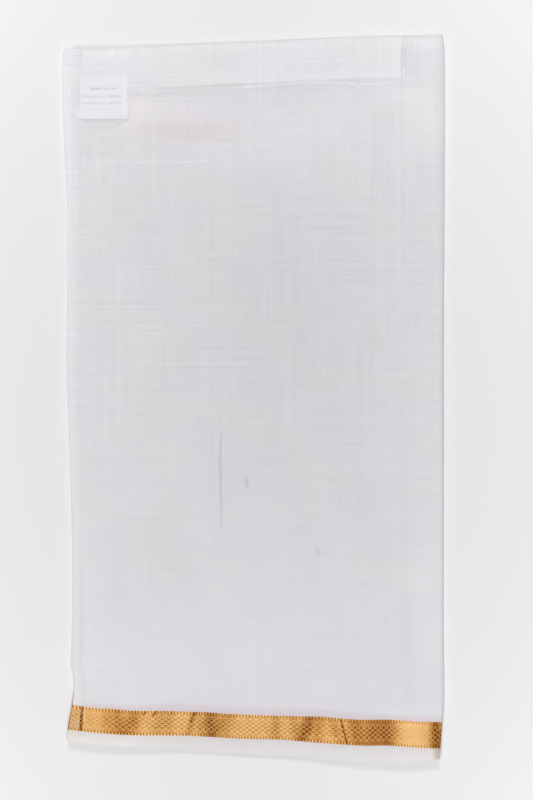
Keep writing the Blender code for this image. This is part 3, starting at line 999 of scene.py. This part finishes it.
def zari_material(name, reverse=0):
    """Gold zari: a lattice of floats bound by finer threads, with beads along both edges.

    On the reverse, floats of all lengths lie over the lattice and nearly hide it.
    """
    g = Graph(name)
    weave = g.attribute("weave")
    place = g.cloth_place()
    along, across, tone = g.split(weave)
    fine = g.noise(weave, (2.1, 1.5), detail=3, roughness=0.7)
    fleck = g.noise(weave, (0.55, 0.9), (3, 8), roughness=0.6)
    blotch = g.noise(weave, (0.35, 0.6), (9, 5), 3, 0.7)
    wander = g.scaled(fine, 0.8 + 2.4 * reverse, -0.4 - 1.2 * reverse)
    floats, middle, dash, eye, edge, bead = lattice_nodes(g, along, across, wander)
    # the tone is painted light and shade from the buckles and glints, with random blotches and the
    # pleats' painted shade
    tone = g.scaled(g.total(blotch, -0.5), 0.35, tone)
    tone = g.lines(tone, place, PLEATS)
    net = g.scaled(tone, 0.03, 0.80)
    thread = g.scaled(tone, 0.78, 0.13)
    thread = g.scaled(middle, g.scaled(tone, 0.15, -0.30), thread)
    thread = g.scaled(eye, g.scaled(tone, -0.35, 0.48), thread)
    light = g.blend(floats, net, thread)
    # painted highlights on the dashes, brighter where the tone is lighter
    shine = g.math("MULTIPLY", g.scaled(tone, 0.50, 0.12), g.scaled(fleck, 3, -0.6))
    light = g.scaled(dash, g.math("MAXIMUM", shine, 0), light)
    light = g.scaled(g.total(fine, -0.5), 0.7, light)
    light = g.blend(edge, light, g.total(g.scaled(tone, 0.50, -0.03), g.scaled(bead, 0.64)))
    gold = g.mix(g.scaled(light, 2), GOLD["dark"], GOLD["middle"])
    gold = g.mix(g.scaled(light, 2, -1), gold, GOLD["bright"])
    threads = g.wave(across, ZARI_THREAD)
    gold = g.times(gold, g.scaled(threads, 0.07, 1))
    gold = g.times(gold, (1 + 0.07 * reverse, 1 + 0.10 * reverse, 1 + 0.3 * reverse))
    gold = g.times(gold, g.attribute("tint"))
    height = g.total(floats, g.scaled(threads, 0.15), g.scaled(fine, 0.4))
    return g.finish(gold, 0.46, g.bump(height, 0.00006, 0.5), Metallic=0.25,
                    Specular_IOR_Level=0.06)


def lattice_relief(weave):
    """The same floats and beads as heights, from -1 to 1."""
    u = weave[..., 0] * 2 * math.pi / REPEAT
    v = weave[..., 1] * 2 * math.pi / RISE
    lozenge = np.minimum(np.cos(u + v), np.cos(u - v))
    in_beads = ramp(np.abs(weave[..., 1]), BEAD_FROM_MIDDLE - 0.3, BEAD_FROM_MIDDLE + 0.3)
    return lozenge * (1 - in_beads) + np.cos(2 * u) * in_beads


def weave_places(cloth, shift=0):
    """Along the band, across it from its middle, and its tone there: painted shade in its
    buckles and a painted highlight at its glints.
    """
    x, y = cloth[..., 0], cloth[..., 1]
    top, foot = band_edges(x, shift)
    across = ((y - foot) / (top - foot) - 0.5) * BAND_WIDTH
    tone = BAND_TONE - buckles(x + 1.2 * swells(x, across, 2, 16), across)
    tone = tone + 0.05 * swells(x, across, 7, 13)
    return np.stack([x + read(PACE, "extra", x), across, tone], axis=-1)


# ---- Label, thread and floor ----
PAPER = (0.850, 0.840, 0.885)
# painted light on the floor: its brightest tone, and the cool and warm casts across it
FLOOR_BRIGHTEST = 0.965
FLOOR_COOL, FLOOR_WARM = (0.990, 1.000, 1.008), (1.002, 1.000, 0.984)


def paper_material(name):
    """The label: smooth pale card."""
    g = Graph(name)
    fibre = g.noise(g.attribute("cloth"), (0.9, 0.9), detail=3, roughness=0.6)
    shade = g.times(g.times(PAPER, g.scaled(fibre, 0.03, 0.985)), g.attribute("tint"))
    return g.finish(shade, 0.6, g.bump(fibre, 0.00003, 0.3), Specular_IOR_Level=0.3)


def thread_material(name, color):
    g = Graph(name)
    place = g.add("TexCoord").outputs["Object"]
    twist = g.noise(place, (1800, 2600, 1800), roughness=0.6)
    return g.finish(g.times(color, g.scaled(twist, 0.24, 0.88)), 0.7,
                    g.bump(twist, 0.00003, 0.6), Specular_IOR_Level=0.3)


def floor_material():
    """A pale sheet with painted light: deeper in the middle than near the frame's corners,
    a touch lighter towards the far side, warmer at one corner and cooler at the other.
    """
    g = Graph("floor")
    x, y, _ = g.split(g.add("TexCoord").outputs["Object"])
    across, along = g.math("POWER", x, 2), g.math("POWER", y, 2)
    tone = g.total(g.scaled(across, 1.25, 0.786), g.scaled(along, 0.72), g.scaled(y, 0.031),
                   g.scaled(g.math("MULTIPLY", across, along), 2.9))
    warm = g.smooth(g.math("SUBTRACT", y, x), -0.5, 0.5)
    color = g.times(g.mix(warm, FLOOR_COOL, FLOOR_WARM),
                    g.math("MINIMUM", tone, FLOOR_BRIGHTEST))
    return g.finish(color, 0.8, Specular_IOR_Level=0.15)


# ---- Tints: a factor of red, green and blue for each place ----
def top_tint(cloth):
    """What shows through the sheer top ply, its stains, and painted light and shade by its folds.
    """
    x, y = cloth[..., 0], cloth[..., 1]
    from_crown, across = below_crown("top", x, y), from_left("top", x, y)
    stripes = np.sin(2 * math.pi * across / 2.5) * ramp(across, 16, 13) * ramp(y, 250, 190)
    # the humps by the far fold are a painted highlight just inside it and painted shade at its edge
    light = (0.115 * strip_share(x, y) + 0.012 * swells(x, y, 6, 60)
             + 0.034 * hump(from_crown, 3.4, 3.2) - 0.02 * hump(from_crown, 0, 1.2))
    tint = 1 + soft_patches(PATCHES_AND_SHADE, x, y) + light[..., None]
    tint *= 1 - colored(ramp(from_crown, 16, 2), 0, 0, 0.018)
    tint += colored(stripes * ramp(y, -60, -20), 0.01)
    # painted shade on the side of the right-hand fold
    fold_shade = ramp(x, 166.5, 171.5) * (0.8 + 0.5 * ramp(y, 170, 60))
    return tint * (1 - colored(fold_shade, 0.10, 0.11, 0.13))


def under_tint(cloth):
    """The under ply is tanned where it stands out past the far fold. Its left margin is lighter,
    with painted light along its very edge and on the far fold's rim, and shaded at the foot."""
    x, y = cloth[..., 0], cloth[..., 1]
    from_crown = below_crown("under", x, y)
    tan = np.maximum(ramp(from_crown, 7.5, 4.5), hump(x, -163.4, 1) * ramp(y, 300, 306))
    # painted light along the margin's very edge and on the far fold's rim, where they lie in shade
    light = (1.06 + 0.13 * hump(from_left("under", x, y), 0.2, 2.2) * ramp(y, -170, 20)
             + (0.02 + 0.10 * ramp(y, 190, 285) - 0.04 * ramp(y, 20, -40)) * ramp(x, -158, -166)
             + 0.09 * hump(from_crown, 0.5, 4) * ramp(x, -80, -110))
    shaded = ramp(x, -160.2, -162.4) * ramp(y, -262, -267)
    return (light[..., None] * (1 - colored(shaded, 0.40, 0.52, 0.50))
            * (1 - colored(tan, 0.005, 0.018, 0.050)))


def margin_tint(cloth):
    """The selvedge is creamy at the left, pinkish at the right and lighter away from the band.
    Its left end is yellower, and its right corner browner."""
    x = cloth[..., 0]
    light = 0.07 * ramp(cloth[..., 2], 1, 10) + 0.065 * ramp(x, -60, -110)
    return ((0.99, 0.978, 0.95) + light[..., None]
            - colored(ramp(x, 40, -70), -0.006, 0.006, 0.038)
            + colored(ramp(x, 100, 150), 0.055, 0.034, 0.015)
            - colored(hump(x, -160, 7), -0.01, 0.012, 0.05)
            - colored(ramp(x, 159.5, 165), 0.27, 0.36, 0.40))


def hem_tint(cloth):
    """Two folds of the hem lie under its top, and show as faint upright stripes. Its rounded
    outer edge has a painted highlight, and its crumples painted shade and highlights.
    """
    x, y = cloth[..., 0], cloth[..., 1]
    across = from_left("top", x, y)
    # the step up at the outer edge is a painted highlight on the hem's rounded side; the crumples
    # add painted shade and highlights
    tone = (1.09 - 0.065 * ramp(across, 3, 9.5) + 0.16 * ramp(across, 0.9, -0.6)
            + 0.01 * np.sin(2 * math.pi * across / 2.7) + soft_patches(CRUMPLES, x, y)[..., 0]
            + 0.025 * ramp(y, 100, 200) + 0.06 * ramp(y, 278, 290) - 0.028 * ramp(y, 90, -20))
    tan = 0.05 * hump(across, 8.6, 0.9) * ramp(y, -60, -140)
    return tone[..., None] - colored(tan, 0, 0.2, 1)


def label_tint(cloth):
    """The bars, the pressed strip down its right side and painted shade at its foot."""
    x, y = cloth[..., 0], cloth[..., 1]
    dark = (0.012 * hump(x, -119.4, 0.7) - 0.02 * ramp(x, -119, -117.5)
            + 0.05 * ramp(y, 256, 251.5) * ramp(x, -150, -120))
    for middle, start, end, tone in rows_of(LABEL_BARS):
        reach = ramp(x, start - 0.5, start + 0.5) * ramp(x, end + 0.5, end - 0.5)
        dark += tone * hump(y, middle, 0.9) * reach
    return 1 - colored(dark, 1, 1, 0.85)


def with_band_distance(cloth, shift=0):
    """The cloth's own places, with the distance from the gold band as the third number."""
    top, foot = band_edges(cloth[..., 0], shift)
    away = np.maximum(cloth[..., 1] - top, foot - cloth[..., 1])
    return np.stack([cloth[..., 0], cloth[..., 1], np.maximum(away, 0)], axis=-1)


# ---- Pieces ----
def declare(piece, node=None):
    """The piece rides on the one body and stands for its solid, if any."""
    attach(piece, "root")
    if node:
        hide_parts(node)
    return piece


def zone_materials():
    """The top ply's cotton, with the fine lines and painted shade of one stretch in each material.
    """
    made = []
    for k, (upper, lower) in enumerate(zip(ZONES, ZONES[1:])):
        marks_and_shade = [mark for mark in MARKS_AND_SHADE
                 if min(y for _, y in mark[0]) < upper + ZONE_LAP
                 and max(y for _, y in mark[0]) > lower - ZONE_LAP]
        made.append(cotton_material(f"cotton_top_{k + 1}", marks_and_shade))
    return made


def make_ply(ply, pieces, span, rise, shift=0):
    """A ply's three stretches, from its far fold down: plain cloth, gold band and selvedge.

    Each has its name, its solid, its materials, its section, where its rows lie between the
    lines that it runs to, and its tint. More than one material means one for each zone.
    """
    made = []
    lines = ply_lines(ply, 0, shift)
    for slot, upper, lower, piece in zip(("cotton", "zari", "cotton"), lines, lines[1:], pieces):
        name, node, materials, section, shares, tint = piece
        rows = rows_between(upper, lower, shares)
        outer, inner, cloth = shell_grids(section, span, rows, rise)
        weave = weave_places(cloth, shift)
        if slot == "zari":
            outer[..., 2] += LATTICE_HEIGHT * lattice_relief(weave)
        cloth = with_band_distance(cloth, shift)
        middle = outer[:-1, outer.shape[1] // 2, 1]
        slots = sum(middle < meeting for meeting in ZONES[1:-1]) if len(materials) > 1 else None
        shell = closed_shell(name, [outer, inner[::2, ::2]], materials,
                             {"cloth": cloth, "tint": tint(cloth), "weave": weave}, slots)
        made.append(declare(shell, node))
    return made


def make_top_ply(marked_cotton, cotton, zari):
    down = graded(0, TOP_LENGTH, 2.3, TOP_FINE_Y) / TOP_LENGTH
    return make_ply("top", [
        ("top_cloth", "top_ply", marked_cotton, top_section(2.1, TOP_FINE_X), down, top_tint),
        ("top_zari", "zari_border", [zari], top_section(0.5), even(53), top_tint),
        ("top_selvedge", "border_selvedge", [cotton], top_section(1.7), even(13), margin_tint),
    ], top_span, top_rise)


def make_under_ply(cotton, zari):
    """The second ply, with its border a little higher than the top one's."""
    coarse, fine, middling = (flat_section(UNDER_WIDTH, step, UNDER_TOP) for step in (5, 1.2, 2.4))
    return make_ply("under", [
        ("under_cloth", "under_ply", [cotton], coarse, even(161), under_tint),
        ("under_gold", "under_zari", [zari], fine, even(23), under_tint),
        ("under_margin", "under_selvedge", [cotton], middling, even(9), margin_tint),
    ], under_span, under_rise, UNDER_SHIFT)


# ---- Hem and stitches ----
STITCH_IN = 1.3  # the hem's stitches, in from its inner edge
STITCH = 2.9  # length of one stitch
STITCHES_START = 312  # y where their row starts
STITCHES_END = -304.5  # the last one starts above this
ON_GOLD = (-299, -277)  # y from which to which the stitches are grey and slanted
SLANT, GOLD_SLANT = 0.25, 0.9  # how far a stitch leans to each side
LOOSE_END = ((-164.2, -292.6), (-162.4, -290.9), (-160.2, -290.2), (-157.6, -290))

# Small crumples along the hem: the middle of each, its half sizes and its change of tone, in
# thousandths. Below zero it is painted shade, above zero a painted highlight; the same numbers
# raise and lower the hem.
CRUMPLES = table("x y half_x half_y tone", [
    (-159.6, 183, 2.6, 5, -32),
    (-159.2, 174, 2.4, 1.5, 50),
    (-155.6, 175, 1, 2, -45),
    (-163, 178, 0.9, 4, 26),
    (-159.8, 163, 2.6, 3.5, 22),
    (-155.8, 160.5, 1.2, 3, -35),
    (-160.5, 152, 2.2, 2.4, -20),
    (-162.4, 132, 1.4, 5, 30),
    (-160.6, 121, 2.2, 1.2, 24),
    (-158.6, 98, 2, 3, -16),
    (-161.4, 52, 2, 8, 20),
    (-161.6, -6, 1.6, 7, 22),
    (-163.4, -103, 0.9, 14, -60),
    (-163.2, -240, 1.1, 16, -70),
])


def hem_rise(x, y):
    """The hem dips at its stitches and puckers a little between them."""
    from_stitches = from_left("top", x, y) - HEM_WIDTH + STITCH_IN
    dip = 0.10 * hump(from_stitches, 0, 0.6)
    pucker = 0.05 * np.sin(2 * math.pi * y / STITCH) * hump(from_stitches, 0, 2)
    return top_rise(x, y) - dip + pucker + 4 * soft_patches(CRUMPLES, x, y)[..., 0]


def make_hem(cotton, reverse):
    """The narrow hem turned onto the top ply's left end, which the border runs through."""
    section = hem_section()
    return make_ply("top", [
        ("hem_cloth", "end_hem", [cotton], section, even(401), hem_tint),
        ("hem_gold", "hem_zari", [reverse], section, even(45), hem_tint),
        ("hem_margin", "hem_selvedge", [cotton], section, even(13), margin_tint),
    ], hem_span, hem_rise)


def hem_surface(x, y, above):
    """A point this far above the hem's upper face."""
    top = TOP + HEM_CLEAR + HEM_CLOTH
    return float(x), float(y), float(top + hem_rise(np.array(x), np.array(y)) + above)


def make_stitches(thread, gray_thread):
    """The hem's row of slanted stitches, and the grey ones that show on the gold."""
    plain, on_gold = [], []
    y = STITCHES_START
    side = 1
    while y > STITCHES_END:
        x = float(read(SIDES, "top_left", y)) + HEM_WIDTH - STITCH_IN
        gold = ON_GOLD[0] < y < ON_GOLD[1]
        lean = side * (GOLD_SLANT if gold else SLANT)
        run = [hem_surface(x + lean * (2 * t - 1), y - STITCH * t, 0.1 - 0.5 * (2 * t - 1) ** 4)
               for t in (0, 0.15, 0.35, 0.65, 0.85, 1)]
        (on_gold if gold else plain).append(run)
        y -= STITCH
        side = -side
    on_gold.append([hem_surface(x, y, 0.12) for x, y in LOOSE_END])
    return [declare(thread_mesh("hem_stitches", plain, 0.16, thread)),
            declare(thread_mesh("border_stitches", on_gold, 0.25, gray_thread))]


# ---- Hidden plies ----
LAYER_GROOVE = 0.06  # height of the groove between two folded pairs
LAYER_ROUND = 0.5  # how far each pair's rounded edge runs in to its groove
PLAIN_ROWS = 60  # lines down the plain cloth, then those down the gold and selvedge
GOLD_SHARES, SELVEDGE_SHARES = (0.25, 0.5, 0.75, 1), (0.5, 1)


def hidden_fold_rows(inset):
    """The lines across one folded pair, from its far fold to its selvedge."""
    def wavering(line, share):
        return lambda x: line(x) + share * waver(x, inset["waver"], (0.7, 29, 1), (0.3, 11, 1))

    lines = [wavering(line, share) for line, share in
             zip(ply_lines("under", -inset["crown"], inset["foot"]), (-0.3, 1, 1, 1))]
    stretches = even(PLAIN_ROWS), GOLD_SHARES, SELVEDGE_SHARES
    return sum((rows_between(upper, lower, shares)
                for upper, lower, shares in zip(lines, lines[1:], stretches)), [])


def make_hidden_folds(cotton, zari):
    """The ten hidden plies, as five folded pairs with rounded edges, each a little uneven."""
    count = len(LAYERS["left"])
    pitch = (LAYERS_TOP + LAYER_GROOVE) / count
    shares = np.concatenate([[0, 0.004], np.linspace(0.02, 0.98, 60), [0.996, 1]])
    outward = np.concatenate([[-1], np.zeros(len(shares) - 2), [1]])
    slots = [0] * (PLAIN_ROWS - 1) + [1] * len(GOLD_SHARES) + [0] * len(SELVEDGE_SHARES)
    made = []
    for pair, values in enumerate(rows_of(LAYERS)):
        inset = dict(zip(LAYERS, values))
        phase = inset["waver"]

        def span(y):
            left = read(SIDES, "under_left", y) + inset["left"]
            right = read(SIDES, "right", y) - inset["right"]
            return (left + waver(y, phase, (0.5, 37, 1), (0.25, 13, 2)),
                    right - waver(y, phase, (0.4, 43, 3), (0.2, 11, 1)))

        settled = [settle(shares, 0, span, row) for row in hidden_fold_rows(inset)]
        x, y = np.array(settled).transpose(1, 0, 2)
        levels = []
        for angle in np.radians((90, 60, 30, 0, -30, -60, -90)):
            share = (1 + math.sin(angle)) / 2
            z = pair * pitch + (pitch - LAYER_GROOVE) * share
            near = x - outward * LAYER_ROUND * (1 - math.cos(angle))
            up = lift(x, y) + (pair + share) / count * slack(x, y)
            levels.append(np.stack([near, y, z + up], axis=-1))
        cloth = np.stack([x, y, np.zeros(x.shape)], axis=-1)
        attributes = {"cloth": with_band_distance(cloth, inset["foot"]),
                      "tint": under_tint(cloth), "weave": weave_places(cloth, inset["foot"])}
        piece = closed_shell(f"hidden_fold_{pair + 1}", levels, [cotton, zari], attributes,
                             slots)
        made.append(declare(piece, "inner_layers"))
    return made


# ---- Label ----
LABEL_WIDTH, LABEL_HEIGHT = 44, 40  # for the spacing of its columns and rows
LABEL_WALL = 0.35  # its thickness
LABEL_CLEAR = 0.15  # room between it and the top ply
LABEL_CORNER = 1.4  # radius of its corners
LABEL_CLIMB = 0.45  # how much its left side is raised by the hem
LABEL_LIFT = 0.7  # how far its lower left corner stands up
LABEL_BOW = 0.25  # how far its middle and its foot stand up

# Plain bars stand where the label's lettering was: the y of each, its two ends and its tone.
LABEL_BARS = table("y start end tone", [
    (278.6, -147.2, -136.4, 0.25),
    (278.6, -135, -129.2, 0.19),
    (278.9, -127.6, -122.8, 0.17),
    (271.6, -154.2, -139.8, 0.15),
    (271.6, -137.8, -133.2, 0.13),
    (271.8, -131, -118.4, 0.19),
    (265.4, -154.4, -131.2, 0.12),
    (265.8, -129.8, -119.6, 0.17),
    (259.4, -145.6, -129, 0.07),
])


def label_rise(x, y):
    corner = ramp(x, -146, -160) * ramp(y, 264, 251)
    bow = np.sin(math.pi * ramp(y, 251, 291)) * hump(x, -134, 16)
    return (top_rise(x, y) + LABEL_CLIMB * ramp(x, -150, -154) + LABEL_LIFT * corner
            + LABEL_BOW * (bow + ramp(y, 254, 251)))


def make_label(paper):
    """The plain label that lies on the top ply and climbs over the hem's edge."""
    section = flat_section(LABEL_WIDTH, 0.6, TOP + LABEL_WALL + LABEL_CLEAR, LABEL_WALL)
    foot, head = LABEL["y"][0], LABEL["y"][-1]
    down = graded(0, LABEL_HEIGHT, 0.7, [(0, 1.5, 0.25), (LABEL_HEIGHT, 1.5, 0.25)])
    rows = rows_between(lambda x: head + 0 * x, lambda x: foot + 0 * x, down / LABEL_HEIGHT)
    outer, inner, cloth = shell_grids(section, label_span, rows, label_rise)
    piece = closed_shell("plain_label", [outer, inner[::2, ::2]], [paper],
                         {"cloth": cloth, "tint": label_tint(cloth)})
    return declare(piece, "label")


# ---- Stage, light and camera ----
PIXEL = 0.90  # millimetres of cloth for one pixel of the frame
FRAME_HEIGHT = 800  # the frame's longer side, in pixels
CAMERA_HEIGHT = 1.6  # metres above the surface
CAMERA_CENTRE = (11.8, -1.4)  # what the middle of the frame looks at, in millimetres
SENSOR = 36
FLOOR_HALF = 3000  # half the floor's side, in millimetres
FLOOR_DROP = 0.0003  # how far the floor lies below the pack, in metres
SKY = 0.055  # strength of the light from all round
LIGHTS = [
    # two over the pack, one past the far fold and one before the foot: the name of each, where
    # it hangs and its width, in metres, and its power
    ("overhead left", (-0.35, -0.25, 3), 0.8, 37),
    ("overhead right", (0.4, -0.25, 3), 0.8, 28),
    ("far", (0, 2.4, 3.4), 1.2, 38),
    ("near", (0, -2.2, 3.4), 1.4, 5),
]


def make_camera():
    data = bpy.data.cameras.new("camera")
    camera = bpy.data.objects.new("camera", data)
    bpy.context.scene.collection.objects.link(camera)
    data.sensor_width = SENSOR
    data.lens = SENSOR * (CAMERA_HEIGHT - TOP * MM) / (FRAME_HEIGHT * PIXEL * MM)
    camera.location = (CAMERA_CENTRE[0] * MM, CAMERA_CENTRE[1] * MM, CAMERA_HEIGHT)
    bpy.context.scene.camera = camera


def make_floor():
    corners = [(x * FLOOR_HALF, y * FLOOR_HALF, 0) for x, y in ((-1, -1), (1, -1), (1, 1), (-1, 1))]
    floor = mesh_object("floor", corners, [(0, 1, 2, 3)], [floor_material()])
    floor.location.z = -FLOOR_DROP


def make_light():
    """Large soft lights, all aimed at the middle of the pack."""
    world = bpy.data.worlds.new("world")
    world.use_nodes = True
    background = world.node_tree.nodes["Background"]
    background.inputs["Color"].default_value = (1, 1, 1, 1)
    background.inputs["Strength"].default_value = SKY
    bpy.context.scene.world = world
    for name, place, size, power in LIGHTS:
        data = bpy.data.lights.new(name, "AREA")
        data.shape = "DISK"
        data.size, data.energy = size, power
        light = bpy.data.objects.new(name, data)
        light.location = place
        light.rotation_euler = (Vector() - light.location).to_track_quat("-Z", "Y").to_euler()
        bpy.context.scene.collection.objects.link(light)


def main():
    view = bpy.context.scene.view_settings
    view.view_transform = "Standard"
    view.look = "None"
    make_camera()
    make_floor()
    make_light()
    cotton = cotton_material("cotton")
    zari = zari_material("zari")
    reverse = zari_material("zari_reverse", reverse=0.8)
    top = make_top_ply(zone_materials(), cotton, zari)
    hem = make_hem(cotton, reverse)
    stitches = make_stitches(thread_material("thread", (0.80, 0.78, 0.80)),
                             thread_material("thread_on_gold", (0.74, 0.70, 0.68)))
    under = make_under_ply(cotton, zari)
    folds = make_hidden_folds(cotton, zari)
    label = make_label(paper_material("label_card"))


main()
